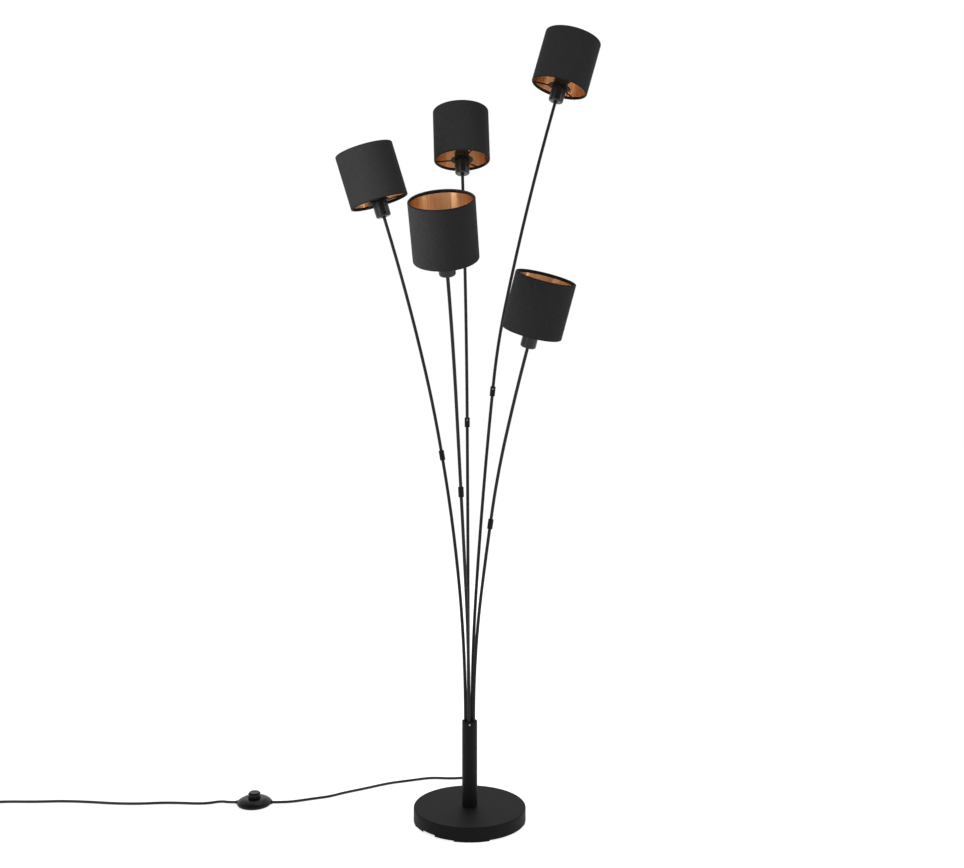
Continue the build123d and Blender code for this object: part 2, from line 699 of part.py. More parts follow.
def corner_radii(route):
    """A radius for each corner of a route, as large as its two runs allow."""
    points = [Vector(*point) for point in route]
    radii = []
    for before, here, after in zip(points, points[1:], points[2:]):
        arriving, leaving = here - before, after - here
        turn = radians(arriving.get_angle(leaving))
        radii.append(0.45 * min(arriving.length, leaving.length) / tan(turn / 2))
    return radii


def cord_stretch(name, route):
    """A free stretch of cord along its route: straight runs joined by tangent arcs."""
    radii = corner_radii(route)
    path = FilletPolyline(*route, radius=radii)
    first = Vector(*route[1]) - Vector(*route[0])
    stretch = sweep(Plane(origin=route[0], z_dir=first) * Circle(CORD_R), path)
    expected = pi * CORD_R**2 * path.length
    print(name, "length", round(path.length, 1), "volume ratio", round(stretch.volume / expected, 5))
    print(name, "radii", [round(radius) for radius in radii])
    return stretch


def rising_biarc(start, start_way, end, end_way):
    """Two tangent arcs from one point and direction to another."""
    chord, sum_way = end - start, start_way + end_way
    spread = 2 * (1 - start_way.dot(end_way))
    if spread < 1e-9:
        reach = chord.dot(chord) / (4 * chord.dot(start_way))
    else:
        along = chord.dot(sum_way)
        reach = (-along + (along**2 + spread * chord.dot(chord)) ** 0.5) / spread
    joint = (start + start_way * reach + end - end_way * reach) * 0.5
    first = TangentArc(start, joint, tangent=start_way)
    return [first, TangentArc(joint, end, tangent=first % 1)]


def coil_end():
    """Where the coil's tube meets the plug's tail."""
    return Vector(
        COIL_X - COIL_R + COIL_DROP_OUT,
        COIL_Y - COIL_DROP_LONG - COIL_START,
        PLUG_THICK / 2,
    )


def coil_path():
    """The spare cord's centre line: half turns that spiral in on the floor, climb, and spiral out on top."""
    start = Vector(COIL_X + COIL_START, COIL_Y + COIL_R, FLOOR_Z)
    here = Vector(COIL_X, COIL_Y + COIL_R, FLOOR_Z)
    edges = [Line(start, here)]
    way = -1.0
    for half in range(2 * COIL_HALF_TURNS):
        steps_in = half if half <= COIL_HALF_TURNS else 2 * COIL_HALF_TURNS - half
        across_y = 2 * (COIL_R - steps_in * COIL_PITCH / 2)
        there = Vector(COIL_X, here.Y + way * across_y, here.Z)
        if half == COIL_HALF_TURNS:
            there = Vector(there.X, there.Y, UPPER_LAYER_Z)
            edges += rising_biarc(here, Vector(way, 0, 0), there, Vector(-way, 0, 0))
        else:
            middle = Vector(COIL_X + way * across_y / 2, (here.Y + there.Y) / 2, here.Z)
            edges.append(ThreePointArc(here, middle, there))
        here, way = there, -way
    quarter = Vector(COIL_X - COIL_R, here.Y - COIL_R, here.Z)
    edges.append(TangentArc(here, quarter, tangent=(-1, 0, 0)))
    down = Vector(0, -1, 0)
    drop_end = coil_end() - down * COIL_START
    edges += rising_biarc(quarter, down, drop_end, down)
    edges.append(Line(drop_end, coil_end()))
    return Wire(edges)


def least_self_gap(path, diameter):
    """The least gap between stretches of a tube that are over three diameters apart along it."""
    step = diameter / 2.5
    count = ceil(path.length / step)
    points = [path.position_at(i / count) for i in range(count + 1)]
    skip = ceil(3 * diameter / step)
    pairs = ((a, b) for i, a in enumerate(points) for b in points[i + skip :])
    return min((a - b).length for a, b in pairs) - diameter


def cord_coil():
    """The coil, down to the plug."""
    path = coil_path()
    coil = sweep(Plane(origin=path @ 0, z_dir=(-1, 0, 0)) * Circle(CORD_R), path)
    expected = pi * CORD_R**2 * path.length
    print("cord_coil length", round(path.length, 1), "volume ratio", round(coil.volume / expected, 5))
    print("cord_coil least gap to itself", round(least_self_gap(path, 2 * CORD_R), 3))
    return coil


def write_arms():
    """Every arm's own sub-parts, and the joint, bore and shade places that follow from its path."""
    cup, core, ring = socket_cup(), socket_core(), shade_ring()
    hoops, drum, lining = shade_frame(), shade_drum(), shade_lining()
    for arm in ARMS:
        plane = arm_plane(arm)
        _, _, _, joint, socket = arm_paths(arm)
        frame = across(plane, socket)
        spoke_frame = screw_frame(frame, arm.spoke)
        lower, upper = make_rods(arm)
        save(f"{arm.name}_lower_rod", lower)
        save(f"{arm.name}_upper_rod", upper)
        save(f"{arm.name}_socket_cup", frame * cup)
        save(f"{arm.name}_socket_core", frame * core)
        save(f"{arm.name}_shade_ring", frame * ring)
        save(f"{arm.name}_shade_frame", *[spoke_frame * hoop for hoop in hoops])
        save(f"{arm.name}_shade_drum", spoke_frame * drum)
        save(f"{arm.name}_shade_lining", frame * lining)
        joint_frame = across(plane, joint)
        print(arm.name, "joint", joint_frame.origin, "axis", joint_frame.z_dir)
        print(arm.name, "socket", frame.origin, "axis", frame.z_dir)


def write_base():
    """The base, the column and what they hold."""
    save("base_cover", base_cover())
    save("base_weight", base_weight())
    save("base_plate", base_plate())
    save("base_feet", *base_feet())
    save("base_grommet", base_grommet())
    save("column_tube", column_tube())
    save("column_stud", column_stud())
    save("column_nut", *column_nut())
    save("rod_holder", rod_holder())
    save("terminal_block", terminal_block())
    sleeves, grubs = zip(*[make_sleeve(arm) for arm in ARMS])
    column_grub = screw(COLUMN_SCREW_R, COLUMN_R - SCREW_SINK - COLUMN_SCREW_LONG, COLUMN_R - SCREW_SINK)
    save("rod_sleeves", *sleeves)
    save("grub_screws", *grubs, column_screw_place() * column_grub)


def write_cord():
    """The cord, its foot switch and its plug."""
    switch = Pos(SWITCH_X, SWITCH_Y, 0)
    save("cord_lead", cord_stretch("cord_lead", LEAD_ROUTE))
    save("cord_tail", cord_stretch("cord_tail", TAIL_ROUTE))
    save("cord_coil", cord_coil())
    save("switch_base", switch * switch_base())
    save("switch_cover", switch * switch_cover())
    save("switch_button", switch * switch_button())
    save("plug_body", plug_place() * plug_body())
    save("plug_pins", *[plug_place() * pin for pin in plug_pins()])


os.makedirs("parts", exist_ok=True)
write_arms()
write_base()
write_cord()
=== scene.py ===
"""Looks of the tree floor lamp: finishes, shades, sockets, foot switch, cord and plug, lit as in a studio.

Metres. +Z is up, the origin is on the floor under the column, and the lamp is seen from the front, along +Y.
"""

import json
from contextlib import contextmanager
from math import atan2, cos, pi, radians, sin, tau

import bmesh
import bpy
from mathutils import Matrix, Vector


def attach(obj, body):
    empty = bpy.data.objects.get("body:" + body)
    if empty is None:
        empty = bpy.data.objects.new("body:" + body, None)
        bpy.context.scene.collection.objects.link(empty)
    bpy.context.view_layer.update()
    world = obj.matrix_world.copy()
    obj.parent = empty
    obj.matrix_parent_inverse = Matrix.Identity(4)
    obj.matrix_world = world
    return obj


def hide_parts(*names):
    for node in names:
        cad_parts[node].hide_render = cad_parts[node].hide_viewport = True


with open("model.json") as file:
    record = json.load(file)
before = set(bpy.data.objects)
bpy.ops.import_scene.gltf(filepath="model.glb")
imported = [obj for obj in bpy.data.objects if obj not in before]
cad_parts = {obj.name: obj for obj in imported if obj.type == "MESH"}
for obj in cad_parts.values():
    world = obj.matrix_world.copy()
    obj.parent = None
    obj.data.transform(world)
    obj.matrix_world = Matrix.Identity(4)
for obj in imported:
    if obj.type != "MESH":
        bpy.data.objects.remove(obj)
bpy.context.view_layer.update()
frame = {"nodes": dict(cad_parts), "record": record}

NODES = frame["nodes"]
MM = 0.001
ARMS = ("left", "back", "front", "top", "right")

# Lamp socket and shade, measured up from where the rod enters the socket's cup, as the frame has them
SOCKET_BORE_UP = 34 * MM
SHADE_R = 54.8 * MM
SHADE_UP = 27.75 * MM
SHADE_HIGH = 102.4 * MM
HEM_R = 1.9 * MM
HEM_LOW = SHADE_UP + HEM_R
HEM_HIGH = SHADE_UP + SHADE_HIGH - HEM_R
HEM_TUCK = 4.2 * MM
HEM_TAPE = 0.35 * MM
TAPE_EASE = 0.1 * MM
HOOP_R = SHADE_R - HEM_R
FABRIC = 0.55 * MM
FABRIC_LAP = 9 * MM
FABRIC_THREAD = 0.9 * MM
TAPE_RIB = 0.6 * MM
FOIL_OUTER = 54.15 * MM
FOIL = 0.3 * MM
FOIL_INSET = 2 * MM
BORE_R = 7.1 * MM
BORE_LOW = 21.5 * MM

# Brass thread and sprung contact in the socket's bore
THREAD_R = BORE_R - 0.1 * MM
THREAD_WALL = 0.3 * MM
THREAD_DEPTH = 0.45 * MM
THREAD_PITCH = 2.82 * MM
THREAD_TURNS = 5
THREAD_LOW = BORE_LOW + 5 * MM
CONTACT_LOW = BORE_LOW + 0.1 * MM
LEAF = 0.6 * MM
LEAF_R = 4.6 * MM
LEAF_EDGE_R = 4.8 * MM
BUTTON_R = 2.4 * MM
BUTTON_ROUND = 1 * MM
BUTTON_HIGH = 3.05 * MM
AXIS_R = 0.01 * MM

# Points round a turned piece, and along its outline
DRUM_STEPS = 128
SHELL_STEPS = 64
CONTACT_STEPS = 48
DRUM_LEVELS = 12
FOIL_LEVELS = 10
HEM_POINTS = 13
THREAD_POINTS = 12
BUTTON_POINTS = 7

# Foot switch and cord
SWITCH_X, SWITCH_Y = -0.4187, 0.0740
SWITCH_CORD_Z = 4.2 * MM
SWITCH_HALF = 35 * MM
CORD_R = 2.5 * MM
FLOOR_Z = 2.55 * MM
COIL_X, COIL_Y = -0.972, 0.044
COIL_R = 33.6 * MM
COIL_PITCH = 5.6 * MM
COIL_HALF_TURNS = 4
COIL_STEPS = 8
COIL_DROP = 40 * MM
COIL_DROP_OUT = 3 * MM
PLUG_Z = 6.8 * MM

# Camera, at the photograph's place: level, square to the lamp, and shifted to frame it
CAMERA_AT = (0, -2.055, 0.8146)
LENS = 40.88
SENSOR_WIDE = 36
CAMERA_SHIFT = (0.0128, -0.0503)

# Studio
WORLD_LEVEL = 0.32
ROOM_LEVEL = 0.11
FLOOR_GLOW = 0.76
FLOOR_SIZE = 24


# ---------------------------------------------------------------- finishes


class Wire:
    """A node's output. Python's operators on it add Math nodes."""

    def __init__(self, finish, socket):
        self.finish = finish
        self.socket = socket

    def __add__(self, other):
        return self.finish.maths("ADD", self, other)

    def __radd__(self, other):
        return self.finish.maths("ADD", other, self)

    def __sub__(self, other):
        return self.finish.maths("SUBTRACT", self, other)

    def __rsub__(self, other):
        return self.finish.maths("SUBTRACT", other, self)

    def __mul__(self, other):
        return self.finish.maths("MULTIPLY", self, other)

    def __rmul__(self, other):
        return self.finish.maths("MULTIPLY", other, self)

    def __truediv__(self, other):
        return self.finish.maths("DIVIDE", self, other)

    def __abs__(self):
        return self.finish.maths("ABSOLUTE", self)

    def __gt__(self, other):
        return self.finish.maths("GREATER_THAN", self, other)

    def sine(self):
        return self.finish.maths("SINE", self)

    def floor(self):
        return self.finish.maths("FLOOR", self)

    def remainder(self, other):
        return self.finish.maths("FLOORED_MODULO", self, other)


class Finish:
    """A material under construction: constant values are set on its surface, and what varies is linked."""

    def __init__(self, name, **surface):
        self.material = bpy.data.materials.new(name)
        self.material.use_nodes = True
        self.tree = self.material.node_tree
        self.surface = self.tree.nodes["Principled BSDF"]
        for key, value in surface.items():
            label = key.replace("_", " ").title().replace("Ior", "IOR")
            self.surface.inputs[label].default_value = value

    def node(self, kind, settings, inputs, output=0):
        """Adds a node: its settings first, then the value or link of each named or numbered socket."""
        node = self.tree.nodes.new(kind)
        for key, value in settings.items():
            setattr(node, key, value)
        for key, value in inputs.items():
            if isinstance(value, Wire):
                self.tree.links.new(value.socket, node.inputs[key])
            else:
                node.inputs[key].default_value = value
        return Wire(self, node.outputs[output])

    def maths(self, operation, *values):
        return self.node("ShaderNodeMath", {"operation": operation}, dict(enumerate(values)))

    def place(self, source="Object"):
        """Coordinates on the piece: the object's own, or its UV map."""
        return self.node("ShaderNodeTexCoord", {}, {}, output=source)

    def along(self, place, axis):
        """One coordinate of a place: 0, 1 or 2."""
        return self.node("ShaderNodeSeparateXYZ", {}, {0: place}, output=axis)

    def stretched(self, place, scale):
        """The place scaled by a different amount each way."""
        return self.node("ShaderNodeMapping", {}, {"Vector": place, "Scale": scale})

    def noise(self, place, scale, detail=2.0, rough=0.5):
        """Noise from 0 to 1 with the given number of lumps in a metre."""
        inputs = {"Vector": place, "Scale": scale, "Detail": detail, "Roughness": rough}
        return self.node("ShaderNodeTexNoise", {}, inputs)

    def between(self, low, high, factor):
        """A number that goes from low to high as the factor goes from 0 to 1."""
        return factor * (high - low) + low

    def tint(self, factor, first, second):
        """A colour between two others."""
        inputs = {0: factor, 6: (*first, 1), 7: (*second, 1)}
        return self.node("ShaderNodeMix", {"data_type": "RGBA", "clamp_factor": True}, inputs, output=2)

    def shows(self, **links):
        """Links what varies to the surface: colour, roughness or metallic."""
        for key, wire in links.items():
            self.tree.links.new(wire.socket, self.surface.inputs[key.replace("_", " ").title()])

    def relief(self, height, depth, strength=1.0):
        """Raises the surface by the height, from 0 to 1, times the depth in metres."""
        inputs = {"Height": height, "Distance": depth, "Strength": strength}
        self.shows(normal=self.node("ShaderNodeBump", {}, inputs))


def powder_coat(name, gloss, rough, shade=1.0):
    """Black powder coat: a fine orange-peel grain and slightly uneven dullness."""
    finish = Finish(name, specular_ior_level=gloss)
    at = finish.place()
    grain = finish.noise(at, scale=1500, detail=2)
    cloud = finish.noise(at, scale=18, detail=3)
    dark = [0.0065 * shade] * 3
    light = [0.0105 * shade] * 3
    finish.shows(
        base_color=finish.tint(grain * 0.5 + cloud * 0.5, dark, light),
        roughness=finish.between(rough - 0.05, rough + 0.1, grain * 0.6 + cloud * 0.4),
    )
    finish.relief(grain, depth=0.02 * MM, strength=0.4)
    return finish.material


def moulded_plastic(name, colour, rough, gloss=0.36, speckle=900, depth=0.02 * MM):
    """Moulded plastic: even colour, a faint spark-eroded grain and soft blotches in its gloss."""
    finish = Finish(name, specular_ior_level=gloss)
    at = finish.place()
    grain = finish.noise(at, scale=speckle, detail=2)
    cloud = finish.noise(at, scale=40, detail=2)
    darker = [value * 0.82 for value in colour]
    finish.shows(
        base_color=finish.tint(cloud, darker, colour),
        roughness=finish.between(rough - 0.05, rough + 0.07, grain * 0.5 + cloud * 0.5),
    )
    finish.relief(grain, depth, strength=0.5)
    return finish.material


def shade_fabric():
    """Charcoal cotton in a plain weave on a stiff backing, with slubs that run along the threads, and
    painted shade between the threads.
    """
    finish = Finish("shade_fabric", specular_ior_level=0.12)
    at = finish.place("UV")
    across = finish.along(at, 0) / FABRIC_THREAD
    up = finish.along(at, 1) / FABRIC_THREAD
    warp = abs((across * pi).sine())
    weft = abs((up * pi).sine())
    over = (across.floor() + up.floor()).remainder(2.0)
    weave = warp * over + weft * (1 - over)
    slub = finish.noise(finish.stretched(at, (110, 620, 1)), scale=1.0, detail=3)
    streak = finish.noise(finish.stretched(at, (620, 110, 1)), scale=1.0, detail=3)
    # The weave term paints each thread lighter along its crown and darker in the dips between threads:
    # painted highlight and painted shade. Slubs and streaks are the cloth's own uneven tone.
    weave_shade_and_slubs = weave * 0.35 + slub * 0.4 + streak * 0.25
    lap = abs(finish.along(at, 0)) > pi * SHADE_R - FABRIC_LAP / 2
    charcoal = (0.0120, 0.0119, 0.0119)
    # Lighter end of the mix: painted highlight on the thread crowns, and the paler slubs.
    thread_highlight_and_slub = (0.0490, 0.0487, 0.0484)
    finish.shows(
        base_color=finish.tint(weave_shade_and_slubs - lap * 0.06, charcoal, thread_highlight_and_slub),
        roughness=finish.between(0.98, 0.80, weave),
    )
    finish.relief(weave * 0.7 + slub * 0.3 + lap * 3, depth=0.12 * MM, strength=0.6)
    return finish.material


def hem_tape():
    """The black binding that is rolled round the shade's hoops."""
    finish = Finish("hem_tape", specular_ior_level=0.2)
    at = finish.place("UV")
    rib = abs((finish.along(at, 0) * (pi / TAPE_RIB)).sine())
    fibre = finish.noise(finish.stretched(at, (900, 300, 1)), scale=1.0, detail=3)
    black = (0.006, 0.0065, 0.0075)
    grey = (0.02, 0.021, 0.024)
    # The rib term paints each rib lighter at its crown and darker in the grooves between ribs: painted
    # highlight and painted shade. The fibre noise is the tape's own uneven tone.
    finish.shows(
        base_color=finish.tint(rib * 0.5 + fibre * 0.5, black, grey),
        roughness=finish.between(0.75, 0.9, fibre),
    )
    finish.relief(rib * 0.6 + fibre * 0.4, depth=0.08 * MM, strength=0.5)
    return finish.material


def copper_foil():
    """Copper metallised film: fine brushing round the drum and slow ripples from its gluing."""
    finish = Finish("copper_foil", metallic=1.0, anisotropic=0.95, anisotropic_rotation=0.25)
    at = finish.place("UV")
    brushed = finish.noise(finish.stretched(at, (14, 1100, 1)), scale=1.0, detail=3, rough=0.6)
    ripple = finish.noise(finish.stretched(at, (90, 3, 1)), scale=1.0, detail=3)
    deep = (0.86, 0.53, 0.28)
    pale = (0.95, 0.63, 0.38)
    finish.shows(
        base_color=finish.tint(brushed * 0.6 + ripple * 0.4, deep, pale),
        roughness=finish.between(0.25, 0.36, brushed),
    )
    finish.relief(brushed * 0.03 + ripple * 0.97, depth=2.6 * MM, strength=0.7)
    return finish.material


def rubber(name, shade=1.0):
    """Matt black rubber with a faint bloom."""
    finish = Finish(name, specular_ior_level=0.25)
    at = finish.place()
    bloom = finish.noise(at, scale=120, detail=4)
    grain = finish.noise(at, scale=2200, detail=2)
    clean = [0.008 * shade] * 3
    bloomed = [0.018 * shade] * 3
    finish.shows(
        base_color=finish.tint(bloom, clean, bloomed),
        roughness=finish.between(0.62, 0.82, bloom),
    )
    finish.relief(grain, depth=0.03 * MM, strength=0.5)
    return finish.material


def cord_sheath():
    """The cord's black PVC sheath, smooth, with long faint drawing marks."""
    finish = Finish("cord_sheath", specular_ior_level=0.4)
    at = finish.place()
    bloom = finish.noise(at, scale=60, detail=3)
    grain = finish.noise(at, scale=1300, detail=2)
    clean = (0.007, 0.007, 0.0075)
    bloomed = (0.014, 0.014, 0.015)
    finish.shows(
        base_color=finish.tint(bloom, clean, bloomed),
        roughness=finish.between(0.34, 0.50, grain * 0.4 + bloom * 0.6),
    )
    finish.relief(grain, depth=0.015 * MM, strength=0.4)
    return finish.material


def bare_metal(name, dull, bright, rough):
    """Bare turned metal, with fine scratches and slight tarnish."""
    finish = Finish(name, metallic=1.0)
    at = finish.place()
    scratch = finish.noise(finish.stretched(at, (2600, 2600, 500)), scale=1.0, detail=2)
    tarnish = finish.noise(at, scale=220, detail=3)
    finish.shows(
        base_color=finish.tint(tarnish, dull, bright),
        roughness=finish.between(rough - 0.07, rough + 0.12, scratch * 0.6 + tarnish * 0.4),
    )
    finish.relief(scratch, depth=0.01 * MM, strength=0.4)
    return finish.material


def cast_iron():
    """The weight's rough casting, lightly rusted."""
    finish = Finish("cast_iron", metallic=0.6, specular_ior_level=0.4)
    at = finish.place()
    sand = finish.noise(at, scale=700, detail=4, rough=0.6)
    rust = finish.noise(at, scale=45, detail=4)
    bare = (0.05, 0.048, 0.046)
    rusted = (0.13, 0.085, 0.06)
    finish.shows(
        base_color=finish.tint(rust, bare, rusted),
        roughness=finish.between(0.6, 0.85, rust),
    )
    finish.relief(sand, depth=0.3 * MM, strength=0.7)
    return finish.material


def porcelain_plastic(name):
    """Off-white heat-proof moulding."""
    finish = Finish(name, specular_ior_level=0.45)
    at = finish.place()
    cloud = finish.noise(at, scale=90, detail=3)
    cream = (0.66, 0.64, 0.59)
    white = (0.76, 0.74, 0.70)
    finish.shows(
        base_color=finish.tint(cloud, cream, white),
        roughness=finish.between(0.35, 0.5, cloud),
    )
    finish.relief(cloud, depth=0.05 * MM, strength=0.3)
    return finish.material


COATED = powder_coat("powder_coat", gloss=0.12, rough=0.46, shade=0.95)
COATED_ROD = powder_coat("rod_powder_coat", gloss=0.22, rough=0.38, shade=1.6)
COATED_BASE = powder_coat("base_powder_coat", gloss=0.10, rough=0.60, shade=1.2)
COATED_WIRE = powder_coat("coated_wire", gloss=0.08, rough=0.55, shade=0.6)
SOCKET_PLASTIC = moulded_plastic("socket_plastic", colour=(0.011, 0.011, 0.0112), rough=0.30)
SWITCH_PLASTIC = moulded_plastic(
    "switch_plastic", colour=(0.006, 0.006, 0.0063), rough=0.26, gloss=0.16, speckle=500, depth=0.01 * MM
)
PLUG_PLASTIC = moulded_plastic("plug_plastic", colour=(0.014, 0.014, 0.0145), rough=0.5)
FABRIC_CLOTH = shade_fabric()
HEM = hem_tape()
COPPER = copper_foil()
FOOT_RUBBER = rubber("foot_rubber")
BUSH_RUBBER = rubber("bush_rubber", shade=0.8)
SHEATH = cord_sheath()
STEEL = bare_metal("bare_steel", dull=(0.42, 0.42, 0.43), bright=(0.62, 0.62, 0.63), rough=0.34)
BRASS = bare_metal("bare_brass", dull=(0.55, 0.42, 0.20), bright=(0.78, 0.64, 0.36), rough=0.30)
IRON = cast_iron()
INSERT = porcelain_plastic("heat_proof_moulding")

NODE_FINISH = {
    "base_cover": COATED_BASE,
    "base_weight": IRON,
    "base_plate": COATED_BASE,
    "base_feet": FOOT_RUBBER,
    "base_grommet": BUSH_RUBBER,
    "column_tube": COATED,
    "column_stud": STEEL,
    "column_nut": STEEL,
    "rod_holder": COATED,
    "terminal_block": INSERT,
    "rod_sleeves": COATED,
    "grub_screws": STEEL,
    "switch_base": SWITCH_PLASTIC,
    "switch_cover": SWITCH_PLASTIC,
    "switch_button": SWITCH_PLASTIC,
    "plug_body": PLUG_PLASTIC,
    "plug_pins": BRASS,
}
ARM_FINISH = {
    "lower_rod": COATED_ROD,
    "upper_rod": COATED_ROD,
    "socket_cup": SOCKET_PLASTIC,
    "socket_core": INSERT,
    "shade_ring": SOCKET_PLASTIC,
    "shade_frame": COATED_WIRE,
    "shade_drum": FABRIC_CLOTH,
    "shade_lining": COPPER,
}
NODE_FINISH.update({f"{arm}_{part}": finish for arm in ARMS for part, finish in ARM_FINISH.items()})


def dress(piece, material):
    """Gives a piece one material."""
    piece.data.materials.clear()
    piece.data.materials.append(material)


for node, finish in NODE_FINISH.items():
    for material_slot in NODES[node].material_slots:
        material_slot.material = finish


# ---------------------------------------------------------------- modelling


def deselect():
    bpy.ops.object.select_all(action="DESELECT")


@contextmanager
def editing(piece):
    """Edit mode on one piece, with the mesh to pick vertices and faces from."""
    deselect()
    bpy.context.view_layer.objects.active = piece
    piece.select_set(True)
    bpy.ops.object.mode_set(mode="EDIT")
    yield bmesh.from_edit_mesh(piece.data)
    bpy.ops.object.mode_set(mode="OBJECT")


def lathe(name, outline, material, steps=96):
    """A closed outline of (radius, height) points, spun round Z from a ring of as many vertices."""
    deselect()
    bpy.ops.mesh.primitive_circle_add(vertices=len(outline), radius=1)
    piece = bpy.context.object
    piece.name = piece.data.name = name
    with editing(piece) as mesh:
        ring = walk_round(mesh)
        for vertex, (radius, height) in zip(ring, outline):
            vertex.co = (radius, 0, height)
        bpy.ops.mesh.select_all(action="SELECT")
        bpy.ops.mesh.spin(steps=steps, angle=tau, center=(0, 0, 0), axis=(0, 0, 1))
        bpy.ops.mesh.select_all(action="SELECT")
        bpy.ops.mesh.remove_doubles(threshold=1e-7)
        bpy.ops.mesh.normals_make_consistent(inside=False)
    dress(piece, material)
    return piece


def walk_round(mesh):
    """A ring's vertices in the order in which its edges join them."""
    mesh.verts.ensure_lookup_table()
    ring = [mesh.verts[0]]
    edge = ring[0].link_edges[0]
    while len(ring) < len(mesh.verts):
        ring.append(edge.other_vert(ring[-1]))
        edge = next(e for e in ring[-1].link_edges if e is not edge)
    return ring


def smooth(piece, degrees=35):
    """Smooth shading that keeps edges sharper than an angle."""
    deselect()
    bpy.context.view_layer.objects.active = piece
    piece.select_set(True)
    bpy.ops.object.shade_smooth_by_angle(angle=radians(degrees))


def wrap(piece, radius):
    """A UV map in metres for a turned piece: round it, and along its outline's height."""
    layer = piece.data.uv_layers.new(name="UVMap") if not piece.data.uv_layers else piece.data.uv_layers[0]
    for face in piece.data.polygons:
        middle = atan2(face.center.y, face.center.x)
        for loop in face.loop_indices:
            at = piece.data.vertices[piece.data.loops[loop].vertex_index].co
            turn = (atan2(at.y, at.x) - middle + pi) % tau - pi
            layer.data[loop].uv = ((middle + turn) * radius, at.z)


def placed(piece, matrix, name):
    """A copy of a piece with its own mesh, moved to its place in the mesh."""
    twin = piece.copy()
    twin.data = piece.data.copy()
    twin.name = twin.data.name = name
    bpy.context.collection.objects.link(twin)
    twin.data.transform(matrix)
    return twin


def discard(*pieces):
    for piece in pieces:
        bpy.data.objects.remove(piece)


def arc(centre, radius, start, end, count):
    """Points along an arc of an outline, from one angle to another in degrees."""
    steps = [radians(start + (end - start) * step / (count - 1)) for step in range(count)]
    return [(centre[0] + radius * cos(turn), centre[1] + radius * sin(turn)) for turn in steps]


def mount(name):
    return next(m for m in frame["record"]["mounts"] if m["name"] == name)


def socket_frame(arm):
    """Where an arm's rod enters its socket, with Z along the socket."""
    bore = mount(f"{arm}_lamp_socket")
    axis = Vector(bore["axis"]).normalized()
    foot = Vector(bore["pos_m"]) - axis * SOCKET_BORE_UP
    return Matrix.Translation(foot) @ axis.to_track_quat("Z", "Y").to_matrix().to_4x4()


# ---------------------------------------------------------------- shades


def fabric_drum():
    """The stiffened fabric wall, between the hems."""
    levels = [HEM_LOW + (HEM_HIGH - HEM_LOW) * step / DRUM_LEVELS for step in range(DRUM_LEVELS + 1)]
    outline = [(SHADE_R, z) for z in levels] + [(SHADE_R - FABRIC, z) for z in reversed(levels)]
    drum = lathe("fabric_drum", outline, FABRIC_CLOTH, DRUM_STEPS)
    wrap(drum, SHADE_R)
    smooth(drum)
    return drum


def rolled_hems():
    """The two rolled edges, with the binding turned in over the lining."""
    hems = []
    for centre, inward in ((HEM_LOW, 1), (HEM_HIGH, -1)):
        tuck = centre + inward * HEM_TUCK
        outline = arc((HOOP_R, centre), HEM_R, 0, -180 * inward, HEM_POINTS)
        outline.append((FOIL_OUTER - FOIL - HEM_TAPE, tuck))
        outline.append((FOIL_OUTER - FOIL, tuck + inward * TAPE_EASE))
        outline.append((SHADE_R - TAPE_EASE, tuck))
        hems.append(lathe("rolled_hem", outline, HEM, DRUM_STEPS))
    for hem in hems:
        hem.select_set(True)
    bpy.context.view_layer.objects.active = hems[0]
    bpy.ops.object.join()
    wrap(hems[0], SHADE_R)
    smooth(hems[0], 60)
    return hems[0]


def foil_lining():
    """The copper film inside the drum."""
    low, high = HEM_LOW + FOIL_INSET, HEM_HIGH - FOIL_INSET
    levels = [low + (high - low) * step / FOIL_LEVELS for step in range(FOIL_LEVELS + 1)]
    outline = [(FOIL_OUTER, z) for z in levels] + [(FOIL_OUTER - FOIL, z) for z in reversed(levels)]
    lining = lathe("foil_lining", outline, COPPER, DRUM_STEPS)
    wrap(lining, SHADE_R)
    smooth(lining)
    return lining


def lap_to_back(matrix):
    """The turn about the socket's axis that brings the drum's lap, at -X, to the lamp's back."""
    back = matrix.to_3x3().inverted() @ Vector((0, -1, 0))
    return matrix @ Matrix.Rotation(atan2(back.y, back.x), 4, "Z")


def make_shades():
    drum, hems, lining = fabric_drum(), rolled_hems(), foil_lining()
    for arm in ARMS:
        matrix = lap_to_back(socket_frame(arm))
        fabric = placed(drum, matrix, f"{arm}_fabric")
        binding = placed(hems, matrix, f"{arm}_hems")
        foil = placed(lining, matrix, f"{arm}_foil")
        for piece, slot in ((fabric, "shade_fabric"), (binding, "shade_fabric"), (foil, "shade_foil")):
            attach(piece, f"{arm}_arm")
        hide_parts(f"{arm}_shade_drum")
        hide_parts(f"{arm}_shade_lining")
    discard(drum, hems, lining)


# ---------------------------------------------------------------- sockets


def thread_shell():
    """The brass shell in the socket's bore, rolled into a lamp cap's thread."""
    steps = THREAD_POINTS * THREAD_TURNS
    outline = []
    for step in range(steps + 1):
        hollow = THREAD_DEPTH * (1 - cos(tau * step / THREAD_POINTS)) / 2
        outline.append((THREAD_R - hollow, THREAD_LOW + THREAD_PITCH * THREAD_TURNS * step / steps))
    outline += [(radius - THREAD_WALL, level) for radius, level in reversed(outline)]
    shell = lathe("thread_shell", outline, BRASS, SHELL_STEPS)
    smooth(shell, 50)
    return shell


